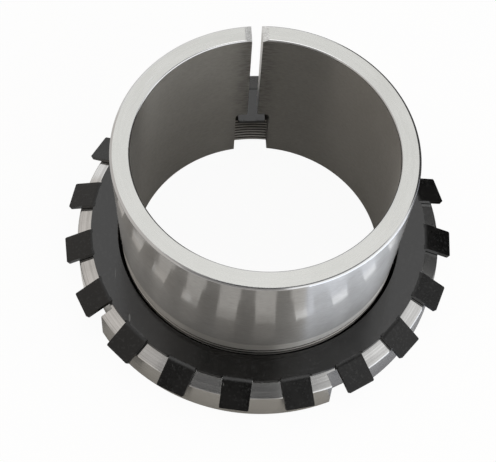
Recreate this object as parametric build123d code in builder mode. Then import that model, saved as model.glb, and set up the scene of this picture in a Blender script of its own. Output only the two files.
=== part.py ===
from build123d import *
import os
from math import cos, radians, sin, tan

os.makedirs("parts", exist_ok=True)

# Adapter sleeve: axis on Z, threaded end on the ground plane, slit towards +Y.
# Its walls, and through them the nut and the washer, are measured from the bore.
shaft_diameter = 100.0
sleeve_length = 77.0
bore_chamfer = 0.9
face_chamfer = 0.9
thread_wall = 5.0
land_length = 5.7
land_relief = 0.05
taper_step = 0.5
taper_ratio = 1 / 12
slit_width = 4.2
slit_bevel_width = 2.4
slit_bevel_drop = 0.8

# Keyway at the threaded end, in line with the slit
keyway_width = 13.9
keyway_runout = 5.2
keyway_corner = 1.5
keyway_mouth_chamfer = 1.0

# Thread of the sleeve and the nut, drawn at its mean diameter
thread_pitch = 2.0
thread_spare = 2.8
thread_end_chamfer = 0.8
thread_clearance = 0.1

# Lock nut, screwed up until its lower face is level with the sleeve's end
nut_width = 18.5
nut_face_width = 11.5
nut_rim_width = 17.6
nut_cone_angle = 27.5
nut_edge_bevel = 0.75
nut_edge_drop = 0.565
nut_foot_chamfer = 1.0
nut_top_thread_chamfer = 1.8
nut_foot_thread_chamfer = 0.7
spanner_slot_count = 4
spanner_slot_width = 12.0
spanner_slot_depth = 5.1
nut_turn = 24.2

# Lock washer, between the nut's face and the taper
washer_thickness = 1.75
washer_seat_gap = 0.05
washer_overhang = 0.6
washer_bore_clearance = 1.55
tab_count = 19
tab_turn = -1.0
tab_width = 11.3
tab_overhang = 4.8
tab_bend_angle = 27.6
tab_bend_inset = 0.95
tab_bend_radius = 2.6
tab_root = 2.0
tab_corner = 0.6
key_clearance = 1.45
key_tip_clearance = 0.8
key_corner = 0.6

# Heights that follow from the ones above
thread_length = nut_width + thread_spare
taper_start = thread_length + land_length
taper_top = sleeve_length - face_chamfer
keyway_length = thread_length + keyway_runout
bevel_width = nut_rim_width - nut_face_width - nut_edge_bevel
bevel_height = nut_width - bevel_width * tan(radians(nut_cone_angle))
edge_height = bevel_height - nut_edge_drop
washer_base = nut_width + washer_seat_gap
washer_top = washer_base + washer_thickness

# Radii that follow. A thread's mean radius lies 3/8 of its full height below the crest
bore_radius = shaft_diameter / 2
thread_radius = bore_radius + thread_wall
thread_mean_radius = thread_radius - 3 / 8 * thread_pitch * cos(radians(30))
sleeve_thread_radius = thread_mean_radius - thread_clearance / 2
nut_thread_radius = thread_mean_radius + thread_clearance / 2
land_radius = thread_radius - land_relief
taper_foot_radius = land_radius + taper_step
large_end_radius = taper_foot_radius + (taper_top - taper_start) * taper_ratio / 2
nut_face_radius = thread_radius + nut_face_width
nut_radius = thread_radius + nut_rim_width
bevel_radius = nut_radius - nut_edge_bevel
slot_floor_radius = nut_radius - spanner_slot_depth
washer_bore_radius = land_radius + washer_bore_clearance
ring_radius = nut_face_radius + washer_overhang
bend_start = ring_radius - tab_bend_inset
tab_tip_radius = nut_radius + tab_overhang
key_tip_radius = bore_radius + key_tip_clearance
key_width = keyway_width - 2 * key_clearance
key_angle = 90.0
first_tab_angle = key_angle + tab_turn

# Sleeve: turned ring with a thread, a plain land and a ground taper
with BuildPart() as sleeve:
    with BuildSketch(Plane.XZ):
        with BuildLine():
            Polyline(
                (bore_radius + bore_chamfer, 0),
                (sleeve_thread_radius - thread_end_chamfer, 0),
                (sleeve_thread_radius, thread_end_chamfer),
                (sleeve_thread_radius, thread_length),
                (land_radius, thread_length + land_radius - sleeve_thread_radius),
                (land_radius, taper_start - taper_step),
                (taper_foot_radius, taper_start),
                (large_end_radius, taper_top),
                (large_end_radius - face_chamfer, sleeve_length),
                (bore_radius + bore_chamfer, sleeve_length),
                (bore_radius, sleeve_length - bore_chamfer),
                (bore_radius, bore_chamfer),
                close=True,
            )
        make_face()
    revolve(axis=Axis.Z)
    # The slit runs the full length and widens to the keyway at the threaded end
    with BuildSketch(Plane.XZ):
        Rectangle(slit_width, sleeve_length, align=(Align.CENTER, Align.MIN))
    extrude(amount=-large_end_radius, mode=Mode.SUBTRACT)
    with BuildSketch(Plane.XZ) as keyway:
        Rectangle(keyway_width, keyway_length, align=(Align.CENTER, Align.MIN))
        fillet(keyway.vertices().group_by(Axis.Z)[-1], radius=keyway_corner)
    extrude(amount=-large_end_radius, mode=Mode.SUBTRACT)
    # Both edges of the keyway's mouth are chamfered
    with BuildSketch(Plane.XZ):
        with BuildLine():
            Polyline(
                (-keyway_width / 2 - keyway_mouth_chamfer, 0),
                (keyway_width / 2 + keyway_mouth_chamfer, 0),
                (keyway_width / 2, keyway_mouth_chamfer),
                (-keyway_width / 2, keyway_mouth_chamfer),
                close=True,
            )
        make_face()
    extrude(amount=-large_end_radius, mode=Mode.SUBTRACT)
    # The slit's two corners on the large end are ground off
    with BuildSketch(Plane.XZ):
        with BuildLine():
            Polyline(
                (-slit_width / 2 - slit_bevel_width, sleeve_length),
                (-slit_width / 2, sleeve_length - slit_bevel_drop),
                (slit_width / 2, sleeve_length - slit_bevel_drop),
                (slit_width / 2 + slit_bevel_width, sleeve_length),
                close=True,
            )
        make_face()
    extrude(amount=-large_end_radius, mode=Mode.SUBTRACT)
sleeve.part.label = "sleeve"
export_step(sleeve.part, "parts/sleeve.step")

# One tab of the washer, bent down over the nut, drawn along +X
with BuildPart() as tab:
    with BuildSketch(Plane.XZ):
        with BuildLine():
            upper_radius = tab_bend_radius + washer_thickness
            upper_bend_end = bend_start + upper_radius * sin(radians(tab_bend_angle))
            slope_length = (tab_tip_radius - upper_bend_end) / cos(radians(tab_bend_angle))
            upper_flat = Line((bend_start - tab_root, washer_top), (bend_start, washer_top))
            upper_bend = JernArc(upper_flat @ 1, (1, 0), upper_radius, -tab_bend_angle)
            upper_slope = Line(upper_bend @ 1, upper_bend @ 1 + (upper_bend % 1) * slope_length)
            lower_flat = Line((bend_start - tab_root, washer_base), (bend_start, washer_base))
            lower_bend = JernArc(lower_flat @ 1, (1, 0), tab_bend_radius, -tab_bend_angle)
            lower_slope = Line(lower_bend @ 1, lower_bend @ 1 + (lower_bend % 1) * slope_length)
            Line(upper_slope @ 1, lower_slope @ 1)
            Line(upper_flat @ 0, lower_flat @ 0)
        make_face()
    extrude(amount=tab_width / 2, both=True)
    tip = tab.faces().sort_by(Axis.X)[-1]
    fillet(tip.edges().sort_by(SortBy.LENGTH)[:2], radius=tab_corner)

# Lock washer: stamped ring, its inner key in the keyway, its tabs bent down
with BuildPart() as lock_washer:
    with BuildSketch(Plane.XY.offset(washer_base)):
        Circle(ring_radius)
        Circle(washer_bore_radius, mode=Mode.SUBTRACT)
        with PolarLocations(bend_start, tab_count, start_angle=first_tab_angle):
            Rectangle(
                2 * tab_bend_inset,
                tab_width,
                align=(Align.MIN, Align.CENTER),
                mode=Mode.SUBTRACT,
            )
    extrude(amount=washer_thickness)
    with BuildSketch(Plane.XY.offset(washer_base)) as key:
        with PolarLocations(key_tip_radius, 1, start_angle=key_angle):
            Rectangle(
                (washer_bore_radius + ring_radius) / 2 - key_tip_radius,
                key_width,
                align=(Align.MIN, Align.CENTER),
            )
        fillet(key.vertices().sort_by(Axis.Y)[:2], radius=key_corner)
    extrude(amount=washer_thickness)
    with PolarLocations(0, tab_count, start_angle=first_tab_angle):
        add(tab.part)
lock_washer.part.label = "lock_washer"
export_step(lock_washer.part, "parts/lock_washer.step")

# Lock nut: turned ring with a cone on the washer's side and slots for a hook spanner
with BuildPart() as lock_nut:
    with BuildSketch(Plane.XZ):
        with BuildLine():
            Polyline(
                (nut_thread_radius + nut_foot_thread_chamfer, 0),
                (nut_radius - nut_foot_chamfer, 0),
                (nut_radius, nut_foot_chamfer),
                (nut_radius, edge_height),
                (bevel_radius, bevel_height),
                (nut_face_radius, nut_width),
                (nut_thread_radius + nut_top_thread_chamfer, nut_width),
                (nut_thread_radius, nut_width - nut_top_thread_chamfer),
                (nut_thread_radius, nut_foot_thread_chamfer),
                close=True,
            )
        make_face()
    revolve(axis=Axis.Z)
    with BuildSketch(Plane.XY):
        with PolarLocations(slot_floor_radius, spanner_slot_count, start_angle=nut_turn):
            Rectangle(
                2 * spanner_slot_depth,
                spanner_slot_width,
                align=(Align.MIN, Align.CENTER),
            )
    extrude(amount=nut_width, mode=Mode.SUBTRACT)
lock_nut.part.label = "lock_nut"
export_step(lock_nut.part, "parts/lock_nut.step")
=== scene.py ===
from math import atan2, cos, hypot, pi, radians, sin, tan

import bmesh
import bpy
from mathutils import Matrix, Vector


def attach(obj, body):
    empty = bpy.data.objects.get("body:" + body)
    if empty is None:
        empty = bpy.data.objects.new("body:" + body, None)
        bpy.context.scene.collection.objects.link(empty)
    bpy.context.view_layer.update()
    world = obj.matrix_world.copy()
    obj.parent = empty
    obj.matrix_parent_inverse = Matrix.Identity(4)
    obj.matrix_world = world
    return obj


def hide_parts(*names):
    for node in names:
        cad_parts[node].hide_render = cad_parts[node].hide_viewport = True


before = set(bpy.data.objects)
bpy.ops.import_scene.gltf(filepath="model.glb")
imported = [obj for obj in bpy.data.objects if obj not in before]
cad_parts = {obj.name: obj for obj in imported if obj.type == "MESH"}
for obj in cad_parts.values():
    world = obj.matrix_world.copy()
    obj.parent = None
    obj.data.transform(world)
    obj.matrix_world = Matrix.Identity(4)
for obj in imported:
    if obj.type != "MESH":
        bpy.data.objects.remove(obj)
bpy.ops.object.select_all(action="DESELECT")
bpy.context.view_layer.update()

MM = 0.001


# Adapter sleeve. A slit ring of steel that grips the shaft: turned all over, then ground on its
# 1:12 taper and threaded M110 x 2 at the lower end. The keyway below the slit takes the washer's
# key. The slit is sawn last, and its corners on the large end are ground off by hand.
bore_radius = 50.0 * MM
thread_crest_radius = 55.0 * MM
thread_root_radius = 53.773 * MM
land_radius = 54.95 * MM
taper_foot_radius = 55.45 * MM
large_end_radius = 57.496 * MM
sleeve_length = 77.0 * MM
edge_chamfer = 0.9 * MM
outer_edge_width = 0.95 * MM
outer_edge_drop = 0.75 * MM
outer_edge_break = (0.5 * MM, 0.2 * MM)
outer_edge_roundings = (0.25 * MM, 0.15 * MM)
bore_edge_width = 0.6 * MM
bore_edge_drop = 0.55 * MM
bore_edge_break = (0.35 * MM, 0.1 * MM)
bore_edge_roundings = (0.1 * MM, 0.2 * MM)
crisp_corner = 0.02 * MM
thread_end_chamfer = 1.5 * MM
thread_length = 21.3 * MM
land_top = 26.5 * MM
taper_start = 27.0 * MM
thread_pitch = 2.0 * MM
groove_root_width = 0.333 * MM
groove_mouth_radius = 55.1 * MM
groove_mouth_width = 1.87 * MM
thread_phase = 0.3 * MM
thread_steps = 180
sleeve_thread_turns = 12
slit_width = 4.2 * MM
slit_deburr = 0.45 * MM
slit_ground_width = 2.4 * MM
slit_ground_drop = 0.8 * MM
keyway_width = 13.9 * MM
keyway_top = 26.5 * MM
keyway_corner = 1.5 * MM
keyway_mouth_chamfer = 1.0 * MM
eased_edge = 0.14 * MM
easing_steps = 3
rounding_steps = 8
lathe_steps = 360
merge_distance = 0.001 * MM
near = 0.01 * MM
wall_inside = 45.0 * MM
wall_outside = 62.0 * MM
spare = 2.0 * MM
shortest_slit_edge = 5.0 * MM
smooth_up_to = radians(20)


def ease_corners(outline):
    """Rounds off each corner of a closed outline, by its own rounding or as a file does."""
    corners = [Vector(corner[:2]) for corner in outline]
    eased = []
    for number, corner in enumerate(corners):
        before = (corners[number - 1] - corner).normalized()
        after = (corners[(number + 1) % len(corners)] - corner).normalized()
        has_rounding = len(outline[number]) == 3
        easing = outline[number][2] if has_rounding else eased_edge
        steps = rounding_steps if has_rounding else easing_steps
        for step in range(steps + 1):
            share = step / steps
            pull = before * (1 - share) ** 2 + after * share**2
            eased.append(tuple(corner + pull * easing))
    return eased


def turn_on_lathe(name, outline):
    """Turns a closed outline of (radius, height) corners into a ring about the axis."""
    outline = ease_corners(outline)
    radius, height = outline[0]
    bpy.ops.mesh.primitive_circle_add(
        vertices=lathe_steps, radius=radius, location=(0, 0, height)
    )
    ring = bpy.context.active_object
    ring.name = ring.data.name = name
    bpy.ops.object.transform_apply(location=True, rotation=False, scale=False)
    bpy.ops.object.mode_set(mode="EDIT")
    for next_radius, next_height in outline[1:] + outline[:1]:
        rise = (0, 0, next_height - height)
        growth = next_radius / radius
        bpy.ops.mesh.extrude_region_move(TRANSFORM_OT_translate={"value": rise})
        bpy.ops.transform.resize(value=(growth, growth, 1), center_override=(0, 0, 0))
        radius, height = next_radius, next_height
    close_mesh()
    return ring


def close_mesh():
    """Leaves edit mode with the seams merged and the faces pointing outwards."""
    bpy.ops.mesh.select_all(action="SELECT")
    bpy.ops.mesh.remove_doubles(threshold=merge_distance)
    bpy.ops.mesh.normals_make_consistent(inside=False)
    bpy.ops.object.mode_set(mode="OBJECT")


def pick(kind, wanted):
    """Selects the verts, edges or faces that are in the wanted place, in edit mode."""
    bpy.ops.mesh.select_mode(type={"verts": "VERT", "edges": "EDGE", "faces": "FACE"}[kind])
    bpy.ops.mesh.select_all(action="DESELECT")
    mesh = bmesh.from_edit_mesh(bpy.context.active_object.data)
    for element in getattr(mesh, kind):
        element.select_set(wanted(element))
    mesh.select_flush_mode()
    bmesh.update_edit_mesh(bpy.context.active_object.data)


def make_active(piece):
    """Selects one piece and nothing else."""
    bpy.ops.object.select_all(action="DESELECT")
    piece.select_set(True)
    bpy.context.view_layer.objects.active = piece


def apply_modifier(piece, kind, **settings):
    """Adds a modifier with its settings, and applies it."""
    make_active(piece)
    modifier = piece.modifiers.new(kind.lower(), kind)
    for name, setting in settings.items():
        setattr(modifier, name, setting)
    bpy.ops.object.modifier_apply(modifier=modifier.name)


def cut_away(piece, cutter):
    """Takes the cutter's shape out of the piece."""
    apply_modifier(piece, "BOOLEAN", operation="DIFFERENCE", solver="EXACT", object=cutter)
    bpy.data.objects.remove(cutter)


def square_cutter(low, high, flare=0.0, flared_face=None):
    """A box between two corners. The flared face's sides move out by the flare."""
    low, high = Vector(low), Vector(high)
    bpy.ops.mesh.primitive_cube_add(size=1, location=(low + high) / 2, scale=high - low)
    cutter = bpy.context.active_object
    bpy.ops.object.transform_apply(location=True, rotation=False, scale=True)
    if flared_face is not None:
        width = high.x - low.x
        middle = (low.x + high.x) / 2
        bpy.ops.object.mode_set(mode="EDIT")
        pick("faces", lambda face: face.normal.z * flared_face > 0.9)
        bpy.ops.transform.resize(
            value=((width + 2 * flare) / width, 1, 1), center_override=(middle, 0, 0)
        )
        bpy.ops.object.mode_set(mode="OBJECT")
    return cutter


def wind_thread_cutter(inner_radius, inner_width, outer_radius, outer_width, start, turns):
    """A bar with the groove's section, wound along a right-handed thread."""
    middle_radius = (inner_radius + outer_radius) / 2
    bpy.ops.mesh.primitive_plane_add(
        size=1, location=(middle_radius, 0, start), rotation=(pi / 2, 0, 0)
    )
    cutter = bpy.context.active_object
    cutter.scale = (outer_radius - inner_radius, inner_width, 1)
    bpy.ops.object.transform_apply(location=True, rotation=True, scale=True)
    bpy.ops.object.mode_set(mode="EDIT")
    pick("edges", lambda edge: min(v.co.x for v in edge.verts) > middle_radius)
    bpy.ops.transform.resize(
        value=(1, 1, outer_width / inner_width), center_override=(outer_radius, 0, start)
    )
    bpy.ops.mesh.select_all(action="SELECT")
    bpy.ops.mesh.delete(type="ONLY_FACE")
    bpy.ops.object.mode_set(mode="OBJECT")
    apply_modifier(
        cutter, "SCREW", angle=2 * pi, steps=thread_steps, render_steps=thread_steps,
        screw_offset=thread_pitch, iterations=turns, axis="Z", use_normal_calculate=True,
    )
    bpy.ops.object.mode_set(mode="EDIT")
    bpy.ops.mesh.select_all(action="SELECT")
    bpy.ops.mesh.fill_holes(sides=4)
    close_mesh()
    return cutter


class Level:
    """A number that varies over a surface: each sum with it adds its Math nodes."""

    def __init__(self, finish, socket):
        self.finish = finish
        self.socket = socket

    def __add__(self, other):
        return self.finish.sum_of("ADD", self, other)

    def __sub__(self, other):
        return self.finish.sum_of("SUBTRACT", self, other)

    def __rsub__(self, other):
        return self.finish.sum_of("SUBTRACT", other, self)

    def __mul__(self, other):
        return self.finish.sum_of("MULTIPLY", self, other)

    def __truediv__(self, other):
        return self.finish.sum_of("DIVIDE", self, other)

    __radd__ = __add__
    __rmul__ = __mul__


class Nodes:
    """A node tree, whose nodes are all added in the same way."""

    def __init__(self, tree):
        self.tree = tree

    def add(self, kind, settings=None, sockets=None, output=0):
        """Adds a node with its settings, then its sockets' values or links."""
        node = self.tree.nodes.new(kind)
        for name, setting in (settings or {}).items():
            setattr(node, name, setting)
        for name, value in (sockets or {}).items():
            if isinstance(value, Level):
                self.tree.links.new(value.socket, node.inputs[name])
            else:
                node.inputs[name].default_value = value
        return Level(self, node.outputs[output])

    def sum_of(self, operation, first, second=0.0):
        return self.add("ShaderNodeMath", {"operation": operation}, {0: first, 1: second})

    def end_with(self, level, node, socket):
        self.tree.links.new(level.socket, self.tree.nodes[node].inputs[socket])


class Finish(Nodes):
    """A material, and what its patterns are made from."""

    def __init__(self, name, **constants):
        self.material = bpy.data.materials.new(name)
        self.material.use_nodes = True
        super().__init__(self.material.node_tree)
        self.shader = self.tree.nodes["Principled BSDF"]
        for socket, value in constants.items():
            self.shader.inputs[socket.replace("_", " ")].default_value = value
        self.place = self.add("ShaderNodeTexCoord", output="Object")

    def root(self, value):
        return self.sum_of("SQRT", value)

    def point(self, x, y, z):
        return self.add("ShaderNodeCombineXYZ", None, {0: x, 1: y, 2: z})

    def stretched(self, *scale):
        """The place on the part, drawn out along X, Y and Z."""
        return self.add(
            "ShaderNodeVectorMath", {"operation": "MULTIPLY"}, {0: self.place, 1: scale}
        )

    def axes(self):
        """The place on the part, in metres along X, Y and Z."""
        split = {"Vector": self.place}
        return [self.add("ShaderNodeSeparateXYZ", None, split, k) for k in range(3)]

    def step(self, value, low, high, start=0.0, end=1.0):
        """A smooth rise from start to end as the value goes from low to high."""
        return self.add(
            "ShaderNodeMapRange", {"interpolation_type": "SMOOTHSTEP"},
            {"Value": value, 1: low, 2: high, 3: start, 4: end},
        )

    def noise(self, place, scale, detail=2.0, roughness=0.5):
        return self.add(
            "ShaderNodeTexNoise", None,
            {"Vector": place, "Scale": scale, "Detail": detail, "Roughness": roughness},
        )

    def blend(self, share, first, second):
        """A colour between two, by a share from 0 to 1."""
        return self.add(
            "ShaderNodeMix", {"data_type": "RGBA"}, {0: share, 6: first, 7: second}, 2
        )

    def feed(self, **links):
        """Links what varies over the surface to the shader."""
        for socket, level in links.items():
            self.end_with(level, "Principled BSDF", socket.replace("_", " "))

    def bump(self, height, depth):
        """Turns a height from 0 to 1 into relief of that depth."""
        self.feed(Normal=self.add(
            "ShaderNodeBump", None, {"Strength": 1.0, "Distance": depth, "Height": height}
        ))


def shade(red, green, blue):
    return (red, green, blue, 1.0)


flat_to_round_spacing = 0.93


def tool_marks(finish, spacing, crossings):
    """Fine rings round the axis, or with many crossings short marks or radial ones."""
    x, y, z = finish.axes()
    radius = finish.root(x * x + y * y)
    along = (z + radius * flat_to_round_spacing) / spacing
    rings = finish.point(x / radius * crossings, y / radius * crossings, along)
    return finish.noise(rings, 1.0, detail=3.0, roughness=0.6)


round_grain = {"Anisotropic": 1.0, "Anisotropic_Rotation": 0.25}
stains_scale = 60.0
marks_in_colour = 0.6
gloss_spread = 0.12


def machined_steel(
    name, dark, light, roughness, spacing, depth, crossings=1.0, wear_and_shade=None, shade_and_wear_tone=0.5, **constants
):
    """Bare steel with its tool marks in colour, gloss and relief. Wear marks, and painted shade
    in thread grooves, darken it in places.
    """
    finish = Finish(name, Metallic=1.0, **constants)
    marks = tool_marks(finish, spacing, crossings)
    stains = finish.noise(finish.place, stains_scale, detail=4.0, roughness=0.6)
    pattern = marks * marks_in_colour + stains * (1.0 - marks_in_colour)
    colour = finish.blend(finish.step(pattern, 0.35, 0.65), shade(*dark), shade(*light))
    # Wear marks, and the painted shade of thread grooves, blend the colour towards a darker tone.
    if wear_and_shade:
        colour = finish.blend(wear_and_shade(finish), colour, shade(*(part * shade_and_wear_tone for part in dark)))
    rough, smooth = roughness * (1.0 + gloss_spread), roughness * (1.0 - gloss_spread)
    finish.feed(Base_Color=colour, Roughness=finish.step(marks, 0.3, 0.7, rough, smooth))
    finish.bump(marks, depth)
    return finish.material


def coat(piece, material, covers=None):
    """Gives a finish to the faces at the wanted place, or to the whole piece."""
    piece.data.materials.append(material)
    for face in piece.data.polygons:
        if covers is None or covers(face.center, face.normal):
            face.material_index = len(piece.data.materials) - 1


def outward(place, normal):
    """How far a face looks away from the axis: 1 outside, -1 in the bore."""
    return (place.x * normal.x + place.y * normal.y) / hypot(place.x, place.y)


def finish_piece(piece, node, body):
    """Smooths the round faces and puts the piece in the place of its CAD node."""
    make_active(piece)
    bpy.ops.object.mode_set(mode="EDIT")
    close_mesh()
    bpy.ops.object.shade_smooth_by_angle(angle=smooth_up_to)
    apply_modifier(piece, "WEIGHTED_NORMAL", keep_sharp=True)
    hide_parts(node)
    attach(piece, body)


sleeve = turn_on_lathe("turned_sleeve", [
    (bore_radius + edge_chamfer, 0),
    (thread_crest_radius - thread_end_chamfer, 0),
    (thread_crest_radius, thread_end_chamfer),
    (thread_crest_radius, thread_length),
    (land_radius, land_top),
    (taper_foot_radius, taper_start),
    (large_end_radius, sleeve_length - outer_edge_drop, outer_edge_roundings[0]),
    (
        large_end_radius - outer_edge_break[0], sleeve_length - outer_edge_break[1],
        outer_edge_roundings[1],
    ),
    (large_end_radius - outer_edge_width, sleeve_length, crisp_corner),
    (bore_radius + bore_edge_width, sleeve_length, crisp_corner),
    (
        bore_radius + bore_edge_break[0], sleeve_length - bore_edge_break[1],
        bore_edge_roundings[0],
    ),
    (bore_radius, sleeve_length - bore_edge_drop, bore_edge_roundings[1]),
    (bore_radius, edge_chamfer),
])
cut_away(sleeve, square_cutter(
    (-slit_width / 2, wall_inside, -spare), (slit_width / 2, wall_outside, sleeve_length + spare)
))
keyway_cutter = square_cutter(
    (-keyway_width / 2, wall_inside, -spare), (keyway_width / 2, wall_outside, keyway_top)
)
bpy.ops.object.mode_set(mode="EDIT")
pick("edges", lambda edge: min(v.co.z for v in edge.verts) > 0
     and edge.verts[0].co.x == edge.verts[1].co.x)
bpy.ops.mesh.bevel(offset=keyway_corner, segments=6)
bpy.ops.object.mode_set(mode="OBJECT")
cut_away(sleeve, keyway_cutter)


def beside_slit(vertex):
    """Whether a vertex lies on one of the slit's walls, above the keyway."""
    on_wall = abs(abs(vertex.co.x) - slit_width / 2) < near
    return on_wall and vertex.co.z > keyway_top - near


make_active(sleeve)
bpy.ops.object.mode_set(mode="EDIT")
pick("edges", lambda edge: all(beside_slit(v) for v in edge.verts)
     and abs(edge.verts[0].co.z - edge.verts[1].co.z) > shortest_slit_edge)
bpy.ops.mesh.bevel(offset=slit_deburr, segments=3)
bpy.ops.object.mode_set(mode="OBJECT")
cut_away(sleeve, square_cutter(
    (-keyway_width / 2, wall_inside, -spare),
    (keyway_width / 2, wall_outside, keyway_mouth_chamfer),
    flare=keyway_mouth_chamfer + spare, flared_face=-1,
))
ground_slope = slit_ground_width / slit_ground_drop
cut_away(sleeve, square_cutter(
    (-slit_width / 2, wall_inside, sleeve_length - slit_ground_drop),
    (slit_width / 2, wall_outside, sleeve_length + spare),
    flare=(slit_ground_drop + spare) * ground_slope, flared_face=1,
))
cut_away(sleeve, wind_thread_cutter(
    thread_root_radius, groove_root_width, groove_mouth_radius, groove_mouth_width,
    thread_phase - 1.5 * thread_pitch, sleeve_thread_turns,
))
coat(sleeve, machined_steel(
    "ground_face", dark=(0.62, 0.62, 0.595), light=(0.66, 0.66, 0.635), roughness=0.28,
    spacing=0.9 * MM, depth=0.0003 * MM, crossings=4.0,
))

chatter_width = 4.0 * MM
chatter_height = 0.8 * MM
chatter_reach = (5.0 * MM, 14.0 * MM)
chatter_raggedness = 6.0 * MM
patch_width = 40.0 * MM
patch_height = 4.0 * MM
slit_side_from = 40.0 * MM


def chatter_by_slit(finish):
    """Short dark marks on both sides of the slit, where the saw shook the wall."""
    x, y, z = finish.axes()
    tick_place = finish.point(x / chatter_width, 0, z / chatter_height)
    ticks = finish.step(finish.noise(tick_place, 1.0, detail=3.0), 0.42, 0.6, 0.2, 0.85)
    patch_place = finish.point(x / patch_width, 0, z / patch_height)
    ragged = finish.noise(patch_place, 1.0, detail=2.0) * chatter_raggedness
    beside = finish.step(finish.root(x * x) + ragged, *chatter_reach, 1.0, 0.0)
    return beside * finish.step(y, 0, slit_side_from) * ticks


coat(
    sleeve,
    machined_steel(
        "turned_bore", dark=(0.33, 0.315, 0.285), light=(0.38, 0.365, 0.335), roughness=0.46,
        spacing=0.7 * MM, depth=0.003 * MM, crossings=30.0, wear_and_shade=chatter_by_slit,
        Coat_Weight=1.0, Coat_IOR=1.6, Coat_Roughness=0.6, **round_grain,
    ),
    lambda place, normal: outward(place, normal) < -0.3
    and place.z < sleeve_length - bore_edge_drop,
)
coat(
    sleeve,
    machined_steel(
        "ground_taper", dark=(0.48, 0.465, 0.44), light=(0.62, 0.605, 0.58), roughness=0.36,
        spacing=0.3 * MM, depth=0.0001 * MM, crossings=20.0,
        Coat_Weight=1.0, Coat_IOR=3.6, Coat_Roughness=0.1, **round_grain,
    ),
    lambda place, normal: outward(place, normal) > 0.9 and place.z > taper_start,
)
coat(
    sleeve,
    machined_steel(
        "turned_land", dark=(0.5, 0.485, 0.455), light=(0.6, 0.585, 0.555), roughness=0.42,
        spacing=0.5 * MM, depth=0.004 * MM, **round_grain,
    ),
    lambda place, normal: outward(place, normal) > 0.3 and place.z < taper_start,
)

inside_roots = 53.0 * MM
runout_radius = 54.9 * MM


def painted_shade_in_grooves(crest, root):
    """Painted shade in a thread, darker from just below its crests down to its roots."""
    def groove_shade(finish):
        x, y = finish.axes()[:2]
        return finish.step((finish.root(x * x + y * y) - crest) / (root - crest), 0.0, 0.5)
    return groove_shade


def on_sleeve_thread(place, normal):
    """Whether a face is a crest or a flank of the thread, also where it runs out in the land."""
    radius = hypot(place.x, place.y)
    along_thread = place.z < thread_length or (place.z < land_top and radius < runout_radius)
    return (
        place.z > 0 and along_thread and radius > inside_roots
        and abs(normal.z) < 0.99 and outward(place, normal) > 0.2
    )


# The sleeve's thread gets painted shade in its grooves, darker towards the roots.
coat(
    sleeve,
    machined_steel(
        "cut_thread", dark=(0.4, 0.385, 0.36), light=(0.5, 0.485, 0.455), roughness=0.3,
        spacing=0.5 * MM, depth=0.002 * MM, shade_and_wear_tone=0.1,
        wear_and_shade=painted_shade_in_grooves(thread_crest_radius, thread_root_radius),
    ),
    on_sleeve_thread,
)
coat(
    sleeve,
    machined_steel(
        "rounded_edge", dark=(0.58, 0.58, 0.58), light=(0.66, 0.66, 0.66), roughness=0.14,
        spacing=0.3 * MM, depth=0.0005 * MM,
    ),
    lambda place, normal: abs(outward(place, normal)) < 0.99 and abs(normal.z) < 0.99
    and place.z > sleeve_length - outer_edge_width,
)
coat(
    sleeve,
    machined_steel(
        "sawn_slit", dark=(0.6, 0.6, 0.59), light=(0.8, 0.8, 0.78), roughness=0.3,
        spacing=1.0 * MM, depth=0.01 * MM,
    ),
    lambda place, normal: abs(normal.x) > 0.9 and abs(place.x) < keyway_width and place.y > 0,
)
hand_ground_above = 70.0 * MM
coat(
    sleeve,
    machined_steel(
        "hand_ground_corner", dark=(0.62, 0.62, 0.61), light=(0.88, 0.88, 0.87), roughness=0.6,
        spacing=0.6 * MM, depth=0.02 * MM, crossings=60.0,
    ),
    lambda place, normal: 0.1 < abs(normal.x) < 0.6 and normal.z > 0.7 and place.y > 0
    and abs(place.x) < keyway_width / 2 and place.z > hand_ground_above,
)
finish_piece(sleeve, "sleeve", "sleeve")


# Lock washer. Stamped from 1.75 mm sheet and phosphated black: a flat ring with one key on its
# inside, which sits in the sleeve's keyway, and nineteen tabs bent down over the nut. One tab
# is bent into a spanner slot on assembly, when the nut is tight.
washer_bore_radius = 56.5 * MM
washer_base = 18.55 * MM
sheet_thickness = 1.75 * MM
ring_radius = 67.1 * MM
stamped_edge = 0.35 * MM
tab_count = 19
tab_width = 11.3 * MM
tab_root_radius = 64.3 * MM
bend_start = 66.15 * MM
bend_angle = radians(27.6)
bend_radius = 2.6 * MM
tab_tip_radius = 77.4 * MM
tab_corner = 0.6 * MM
key_angle = radians(90.0)
key_width = 11.1 * MM
key_tip_radius = 50.8 * MM
key_root = 1.0 * MM
key_corner = 0.6 * MM
arc_steps = 38
tab_steps = 20
key_steps = 22
key_offset_steps = 2
corner_steps = 4
bend_steps = 6
sharp_fold = radians(40)


def in_arc(vertex, steps, radius=None):
    """Whether a vertex lies within that many steps of arc about the X axis, on a circle."""
    half = pi * (steps + 0.5) / (tab_count * arc_steps)
    on_circle = radius is None or abs(hypot(vertex.co.x, vertex.co.y) - radius) < near
    return abs(atan2(vertex.co.y, vertex.co.x)) < half and on_circle


def turn_piece(piece, angle):
    """Turns a piece about the part's axis."""
    make_active(piece)
    piece.rotation_euler.z = angle
    bpy.ops.object.transform_apply(location=False, rotation=True, scale=False)


def extend_strip(direction, length, half_width, corner):
    """Extrudes the selected edge straight on, and rounds off the corners of its end."""
    bpy.ops.mesh.extrude_region_move(
        TRANSFORM_OT_translate={"value": direction * (length - corner)}
    )
    width = half_width
    for step in range(corner_steps):
        angles = [pi / 2 * (step + k) / corner_steps for k in (0, 1)]
        advance = corner * (sin(angles[1]) - sin(angles[0]))
        next_width = half_width - corner * (1 - cos(angles[1]))
        bpy.ops.mesh.extrude_region_move(TRANSFORM_OT_translate={"value": direction * advance})
        bpy.ops.transform.resize(value=(1, next_width / width, 1), center_override=(0, 0, 0))
        width = next_width


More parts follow.
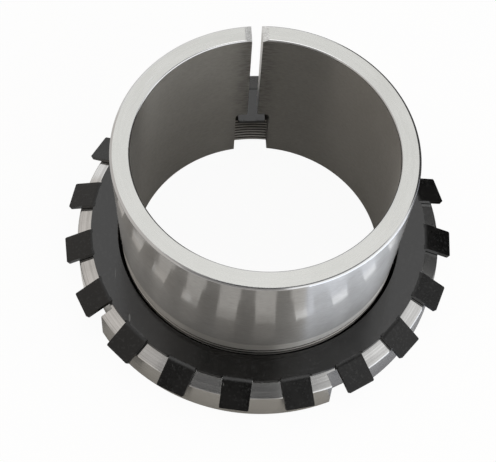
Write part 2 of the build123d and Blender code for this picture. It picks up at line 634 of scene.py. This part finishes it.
middle_height = washer_base + sheet_thickness / 2
bpy.ops.mesh.primitive_circle_add(
    vertices=tab_count * arc_steps, radius=washer_bore_radius, location=(0, 0, middle_height),
    rotation=(0, 0, pi / (tab_count * arc_steps)),
)
sector = bpy.context.active_object
bpy.ops.object.transform_apply(location=True, rotation=True, scale=False)
bpy.ops.object.mode_set(mode="EDIT")
pick("verts", lambda vertex: not in_arc(vertex, arc_steps))
bpy.ops.mesh.delete(type="VERT")
bpy.ops.mesh.select_all(action="SELECT")
for radius, inner in ((tab_root_radius, washer_bore_radius), (ring_radius, tab_root_radius)):
    bpy.ops.mesh.extrude_region_move()
    bpy.ops.transform.resize(value=(radius / inner,) * 2 + (1,), center_override=(0, 0, 0))
pick("verts", lambda vertex: in_arc(vertex, tab_steps, ring_radius))
root_width = 2 * ring_radius * sin(pi * tab_steps / (tab_count * arc_steps))
bpy.ops.transform.resize(
    value=(0, tab_width / root_width, 1), center_override=(bend_start, 0, middle_height)
)
bend_middle_radius = bend_radius + sheet_thickness / 2
bpy.ops.mesh.spin(
    steps=bend_steps, angle=-bend_angle, axis=(0, 1, 0),
    center=(bend_start, 0, middle_height - bend_middle_radius),
)
bend_end = bend_start + (bend_radius + sheet_thickness) * sin(bend_angle)
extend_strip(
    Vector((cos(bend_angle), 0, -sin(bend_angle))),
    (tab_tip_radius - bend_end) / cos(bend_angle), tab_width / 2, tab_corner,
)
bpy.ops.object.mode_set(mode="OBJECT")
sectors = [sector]
for number in range(1, tab_count):
    other = sector.copy()
    other.data = sector.data.copy()
    bpy.context.collection.objects.link(other)
    other.rotation_euler.z = 2 * pi * number / tab_count
    sectors.append(other)
make_active(sector)
for other in sectors:
    other.select_set(True)
bpy.ops.object.join()
washer = sector
washer.name = washer.data.name = "stamped_washer"
turn_piece(washer, -2 * pi * key_offset_steps / (tab_count * arc_steps))
bpy.ops.object.mode_set(mode="EDIT")
close_mesh()
bpy.ops.object.mode_set(mode="EDIT")
pick("verts", lambda vertex: in_arc(vertex, key_steps, washer_bore_radius))
arc_width = 2 * washer_bore_radius * sin(pi * key_steps / (tab_count * arc_steps))
bpy.ops.transform.resize(value=(1, key_width / arc_width, 1), center_override=(0, 0, 0))
bpy.ops.mesh.extrude_region_move()
key_foot = washer_bore_radius - key_root
bpy.ops.transform.resize(value=(0, 1, 1), center_override=(key_foot, 0, 0))
extend_strip(Vector((-1, 0, 0)), key_foot - key_tip_radius, key_width / 2, key_corner)
close_mesh()
turn_piece(washer, key_angle)
apply_modifier(washer, "SOLIDIFY", thickness=sheet_thickness, offset=0, use_even_offset=True)
apply_modifier(
    washer, "BEVEL", width=stamped_edge, segments=2, limit_method="ANGLE",
    angle_limit=sharp_fold,
)


deep_black = shade(0.001, 0.0009, 0.0007)
thin_black = shade(0.003, 0.0026, 0.0022)
dust_grey = shade(0.014, 0.014, 0.0135)
scratch_grey = shade(0.1, 0.1, 0.096)
crystal_depth = 0.01 * MM
scratch_direction = (1.0, 0.12, 1.0)
patches_in_gloss = 0.6
phosphate_gloss_spread = 0.15


def black_phosphate(name, shine, roughness):
    """The crystalline black coat on the sheet, with a little dust and a few scratches."""
    finish = Finish(name, Specular_IOR_Level=shine)
    grain = finish.noise(finish.place, 900.0, detail=4.0, roughness=0.6)
    patches = finish.noise(finish.place, 70.0, detail=4.0, roughness=0.6)
    specks = finish.noise(finish.place, 1100.0, detail=1.0)
    scratches = finish.noise(finish.stretched(*scratch_direction), 600.0, detail=1.0)
    black = finish.blend(finish.step(patches, 0.35, 0.7), deep_black, thin_black)
    dusty = finish.blend(finish.step(specks, 0.55, 0.7), black, dust_grey)
    scratched = finish.blend(finish.step(scratches, 0.76, 0.8), dusty, scratch_grey)
    uneven = patches * patches_in_gloss + grain * (1.0 - patches_in_gloss)
    smooth = roughness * (1.0 - phosphate_gloss_spread)
    rough = roughness * (1.0 + phosphate_gloss_spread)
    finish.feed(
        Base_Color=scratched, Roughness=finish.step(uneven, 0.35, 0.65, smooth, rough)
    )
    finish.bump(grain, crystal_depth)
    return finish.material


tabs_from_radius = bend_start + 0.3 * MM
coat(washer, black_phosphate("phosphated_ring", shine=0.86, roughness=0.17))
coat(
    washer, black_phosphate("phosphated_tabs", shine=0.45, roughness=0.3),
    lambda place, normal: hypot(place.x, place.y) > tabs_from_radius,
)
finish_piece(washer, "lock_washer", "washer")


# Lock nut. Turned from one steel ring: an M110 x 2 thread, a flat face under the washer, a cone
# down to the rim, and four slots for a hook spanner, milled across the rim.
nut_radius = 72.6 * MM
nut_width = 18.5 * MM
nut_face_radius = 66.5 * MM
nut_edge_height = 15.325 * MM
nut_edge_rounding = 0.67 * MM
nut_foot_chamfer = 1.0 * MM
nut_thread_radius = 53.917 * MM
nut_mouth_radius = 56.4 * MM
nut_foot_mouth_radius = 55.1 * MM
nut_groove_width = 1.635 * MM
nut_groove_inner_radius = 53.8 * MM
nut_groove_outer_radius = 55.05 * MM
nut_groove_floor_width = 0.25 * MM
nut_thread_turns = 11
spanner_slot_count = 4
spanner_slot_width = 12.0 * MM
spanner_slot_floor = 67.5 * MM
slot_cutter_end = 80.0 * MM
nut_turn = radians(24.2)
mouth_depth = nut_mouth_radius - nut_thread_radius
foot_mouth_depth = nut_foot_mouth_radius - nut_thread_radius

nut = turn_on_lathe("turned_nut", [
    (nut_foot_mouth_radius, 0),
    (nut_radius - nut_foot_chamfer, 0),
    (nut_radius, nut_foot_chamfer),
    (nut_radius, nut_edge_height, nut_edge_rounding),
    (nut_face_radius, nut_width),
    (nut_mouth_radius, nut_width),
    (nut_thread_radius, nut_width - mouth_depth),
    (nut_thread_radius, foot_mouth_depth),
])
for number in range(spanner_slot_count):
    cutter = square_cutter(
        (spanner_slot_floor, -spanner_slot_width / 2, -spare),
        (slot_cutter_end, spanner_slot_width / 2, nut_width + spare),
    )
    cutter.rotation_euler.z = nut_turn + 2 * pi * number / spanner_slot_count
    cut_away(nut, cutter)
cut_away(nut, wind_thread_cutter(
    nut_groove_inner_radius, nut_groove_width, nut_groove_outer_radius, nut_groove_floor_width,
    thread_phase - thread_pitch, nut_thread_turns,
))
coat(nut, machined_steel(
    "turned_rim", dark=(0.5, 0.48, 0.445), light=(0.56, 0.54, 0.5), roughness=0.22,
    spacing=0.5 * MM, depth=0.003 * MM, **round_grain,
))
coat(
    nut,
    machined_steel(
        "turned_cone", dark=(0.5, 0.495, 0.485), light=(0.72, 0.715, 0.705), roughness=0.15,
        spacing=0.28 * MM, depth=0.01 * MM, crossings=0.4, **round_grain,
    ),
    lambda place, normal: normal.z > 0.5,
)
slots_outside = 66.0 * MM
coat(
    nut,
    machined_steel(
        "milled_slots", dark=(0.18, 0.17, 0.15), light=(0.3, 0.285, 0.26), roughness=0.4,
        spacing=1.0 * MM, depth=0.01 * MM,
    ),
    lambda place, normal: hypot(place.x, place.y) > slots_outside and abs(normal.z) < 0.1
    and abs(outward(place, normal)) < 0.9,
)
# The nut's thread gets painted shade in its grooves, darker towards the roots.
coat(
    nut,
    machined_steel(
        "cut_nut_thread", dark=(0.44, 0.42, 0.385), light=(0.54, 0.515, 0.475), roughness=0.4,
        spacing=0.5 * MM, depth=0.002 * MM, shade_and_wear_tone=0.12,
        wear_and_shade=painted_shade_in_grooves(nut_thread_radius, nut_groove_outer_radius),
    ),
    lambda place, normal: hypot(place.x, place.y) < nut_mouth_radius and abs(normal.z) < 0.99,
)
finish_piece(nut, "lock_nut", "nut")


# Studio. A white floor and a white backdrop, which the steel mirrors too. Grey flags hang at the
# left, over the lamp, and above and below the camera, and at the right a dark flag and a bright
# card. Only reflections show them, and they give the turned faces their light and dark sides.
floor_size = 24.0
floor_drop = 0.05 * MM
floor_own_white = 0.94
floor_paint = shade(0.95, 0.925, 0.89)
shadow_start = (77.0 * MM, 80.0 * MM)
shadow_end = (95.0 * MM, 115.0 * MM)
past_rim = (70.0 * MM, 80.0 * MM)
under_tabs = (77.0 * MM, 81.0 * MM)
tab_tips = (79.0 * MM, 83.0 * MM)
left_side = (-70.0 * MM, -60.0 * MM)
front_left = (-40.0 * MM, -20.0 * MM)
front_right = (-25.0 * MM, 20.0 * MM)
from_middle = (0.0, 50.0 * MM)
first_tab = key_angle - 2 * pi * key_offset_steps / (tab_count * arc_steps)
floor_dimming = 0.43
shadow_dimming = 0.5
tips_dimming = 0.01
left_glow = 0.5
back_brightening = 0.35
back_right_dimming = 0.85


def seen(nodes, in_reflections):
    """How much of its own white a surface shows: all to a view, less or more to a reflection."""
    camera, glossy, glass = [
        nodes.add("ShaderNodeLightPath", output=ray)
        for ray in ("Is Camera Ray", "Is Glossy Ray", "Is Transmission Ray")
    ]
    direct = nodes.sum_of("MAXIMUM", camera, glass)
    return nodes.sum_of("MAXIMUM", direct, glossy * in_reflections)


def tab_shadows(nodes):
    """The soft shadows of the tabs on what lies round the part, as its taper mirrors them."""
    x, y = nodes.axes()[:2]
    around = nodes.root(x * x + y * y)
    turns = (nodes.sum_of("ARCTAN2", y, x) - first_tab) * tab_count
    in_line = nodes.step(nodes.sum_of("COSINE", turns), 0.1, 0.45)
    return in_line * nodes.step(around, *shadow_start) * nodes.step(around, *shadow_end, 1.0, 0.0)


bpy.ops.mesh.primitive_plane_add(size=floor_size, location=(0, 0, -floor_drop))
bpy.ops.object.transform_apply(location=True, rotation=False, scale=False)
floor = bpy.context.active_object
floor.name = "floor"

# Its white is its own light where the camera sees it. In a reflection that light is out, but for
# the left edge, so there a larger share of it dims the floor and a smaller one brightens it.
floor_white = Finish("floor_white")
x, y = floor_white.axes()[:2]
around = floor_white.root(x * x + y * y)
outside = floor_white.step(around, *past_rim)
shadows = tab_shadows(floor_white)
tips = floor_white.step(around, *tab_tips)
left = (
    floor_white.step(x, *left_side, 1.0, 0.0) * floor_white.step(y, *front_left)
    * floor_white.step(around, *under_tabs, 1.0, 0.0)
)
back = floor_white.step(y, *from_middle) * outside
back_right = floor_white.step(y, *front_right) * floor_white.step(x, *from_middle) * outside
own_light_in_reflections = (
    floor_dimming + shadows * shadow_dimming + tips * tips_dimming + left * left_glow
    - back * back_brightening + back_right * back_right_dimming
)
share = seen(floor_white, own_light_in_reflections) * floor_own_white
glow = floor_white.add("ShaderNodeEmission", None, {"Strength": seen(floor_white, left)})
paint = floor_white.add("ShaderNodeBsdfDiffuse", None, {"Color": floor_paint})
mixed = floor_white.add("ShaderNodeMixShader", None, {0: share, 1: paint, 2: glow})
floor_white.end_with(mixed, "Material Output", "Surface")
floor_white.material.cycles.emission_sampling = "NONE"
floor.data.materials.append(floor_white.material)

plain_light = 0.6
world = bpy.data.worlds.new("studio")
bpy.context.scene.world = world
world.use_nodes = True
world.cycles.sampling_method = "NONE"
backdrop = Nodes(world.node_tree)
strength = seen(backdrop, 1.0) * (1.0 - plain_light) + plain_light
backdrop.end_with(strength, "Background", "Strength")
world.node_tree.nodes["Background"].inputs["Color"].default_value = shade(1.0, 1.0, 1.0)


def towards(azimuth, elevation, distance):
    """The place at that distance from the part, in degrees round from X and up from the floor."""
    around, up = radians(azimuth), radians(elevation)
    return Vector((cos(around) * cos(up), sin(around) * cos(up), sin(up))) * distance


def face_part(thing):
    """Turns a lamp or a flag towards the middle of the part."""
    thing.rotation_euler = (-thing.location).to_track_quat("-Z", "Y").to_euler()


def glow_in_reflections(card, finish, colour, strength=1.0):
    """Lights a card by itself, for reflections alone, and leaves it out of the part."""
    light = finish.add("ShaderNodeEmission", None, {"Color": colour, "Strength": strength})
    finish.end_with(light, "Material Output", "Surface")
    finish.material.cycles.emission_sampling = "NONE"
    card.data.materials.append(finish.material)
    card.visible_camera = card.visible_diffuse = card.visible_shadow = False
    card.visible_transmission = card.visible_volume_scatter = False


flag_distance = 1.6


def hang_flag(name, azimuths, elevations, grey, warmth=1.0):
    """Hangs a matt card between two azimuths and two elevations."""
    azimuth, elevation = sum(azimuths) / 2, sum(elevations) / 2
    across, up = azimuths[1] - azimuths[0], elevations[1] - elevations[0]
    bpy.ops.mesh.primitive_plane_add(
        size=1, location=towards(azimuth, elevation, flag_distance)
    )
    flag = bpy.context.active_object
    flag.name = name
    flag.scale = (
        2 * flag_distance * tan(radians(across) / 2) * cos(radians(elevation)),
        2 * flag_distance * tan(radians(up) / 2), 1,
    )
    face_part(flag)
    glow_in_reflections(flag, Finish(name), shade(grey * warmth, grey, grey / warmth))


hang_flag("flag_below_camera", (-140, -80), (4, 43), grey=0.34, warmth=1.03)
hang_flag("flag_round_camera", (-151, -73), (42, 72), grey=0.04)
hang_flag("flag_over_lamp", (-78, 8), (53, 74), grey=0.22)
hang_flag("flag_left", (128, 220), (-4, 58), grey=0.66, warmth=1.05)
hang_flag("flag_left_high", (192, 222), (46, 68), grey=0.42, warmth=1.03)
hang_flag("flag_right", (10, 70), (-10, 43), grey=0.06)
hang_flag("card_right", (-76, 4), (2, 30), grey=1.38, warmth=0.99)

# A sheet lies on the table to the right, bright from a little way off the part. Nearer the part
# and towards the back it is dark, which is painted shade, and the tabs' soft shadows are painted
# on it. It too is seen in reflections only.
sheet_size = 1.0
sheet_turn = radians(-69)
sheet_corner = Vector((18.0 * MM, -49.0 * MM, 0.5 * MM))
sheet_bright_from = (80.0 * MM, 120.0 * MM)
sheet_bright_in_front = (-42.0 * MM, -12.0 * MM)
shadow_on_sheet = 0.9
paper_in_painted_shade = shade(0.14, 0.145, 0.16)
bright_paper = shade(0.88, 0.94, 1.05)
sheet_across = Vector((cos(sheet_turn), sin(sheet_turn), 0)) * sheet_size / 2
sheet_along = Vector((-sin(sheet_turn), cos(sheet_turn), 0)) * sheet_size / 2
bpy.ops.mesh.primitive_plane_add(
    size=sheet_size, location=sheet_corner + sheet_across + sheet_along,
    rotation=(0, 0, sheet_turn),
)
bpy.ops.object.transform_apply(location=True, rotation=True, scale=False)
sheet = bpy.context.active_object
sheet.name = "sheet_right"
paper = Finish("bright_paper")
x, y = paper.axes()[:2]
around = paper.root(x * x + y * y)
# Painted shade: dark near the part and towards the back, and darker again along the painted
# shadows of the tabs.
lit = paper.step(around, *sheet_bright_from) * paper.step(y, *sheet_bright_in_front, 1.0, 0.0)
lit = lit * (1 - tab_shadows(paper) * shadow_on_sheet)
glow_in_reflections(sheet, paper, paper.blend(lit, paper_in_painted_shade, bright_paper), strength=2.25)

lamp_distance = 1.4
watts_per_square_metre = 4.0


def hang_lamp(name, azimuth, elevation, width, height, brightness, in_reflections):
    """Hangs a soft box that looks at the part. A brightness of 1 is the backdrop's own."""
    bpy.ops.object.light_add(type="AREA", location=towards(azimuth, elevation, lamp_distance))
    lamp = bpy.context.active_object
    lamp.name = name
    lamp.data.shape = "RECTANGLE"
    lamp.data.size = width
    lamp.data.size_y = height
    lamp.data.energy = brightness * watts_per_square_metre * width * height
    lamp.visible_glossy = in_reflections
    face_part(lamp)


hang_lamp(
    "lamp_overhead", -90, 88, width=0.8, height=0.8, brightness=0.8, in_reflections=True
)
hang_lamp(
    "lamp_right", -43, 28, width=2.0, height=1.15, brightness=1.0, in_reflections=False
)


# Camera. It looks down on the part from above and a little in front, as the photograph does, and
# has the photograph's viewing angle and its slight tilt.
camera_place = (-0.04137, -0.29341, 0.53972)
camera_turn = (radians(29.428), radians(-2.2327), radians(-3.2494))
camera_lens = 108.39
camera_reach = 50.0
bpy.ops.object.camera_add(location=camera_place, rotation=camera_turn)
camera = bpy.context.active_object
camera.data.lens = camera_lens
camera.data.clip_end = camera_reach
bpy.context.scene.camera = camera
bpy.context.scene.view_settings.view_transform = "Standard"

bpy.context.view_layer.update()
